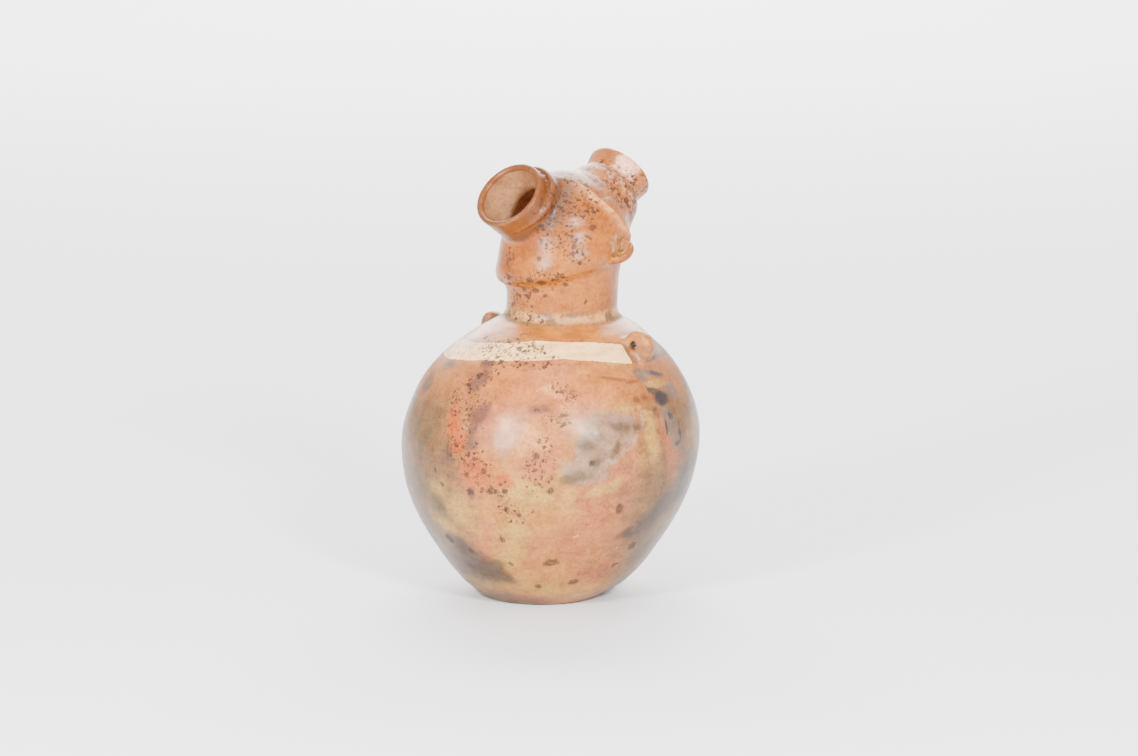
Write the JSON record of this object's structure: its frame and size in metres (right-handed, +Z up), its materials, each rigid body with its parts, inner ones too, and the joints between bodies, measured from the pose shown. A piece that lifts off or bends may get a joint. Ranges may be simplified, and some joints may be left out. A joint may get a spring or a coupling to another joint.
{
  "type": "figural spout vessel",
  "caption": "Round hollow clay jar with a head-shaped top, an open mouth spout, a rear spout, cupped ears and pierced shoulder discs.",
  "frame": {"origin": "middle of the underside, on the surface the vessel stands on", "axes": "+Z up, the mouth spout points towards -Y and up, the rear spout towards +Y and up, the shoulder discs lie along X"},
  "size_m": [0.1994, 0.1994, 0.2965],
  "materials": {
    "fired_clay": "burnished orange clay with a cream painted band, grey fire clouds, dark specks and fine scratches"
  },
  "bodies": {
    "root": {"vessel": "fired_clay"}
  },
  "joints": []
}
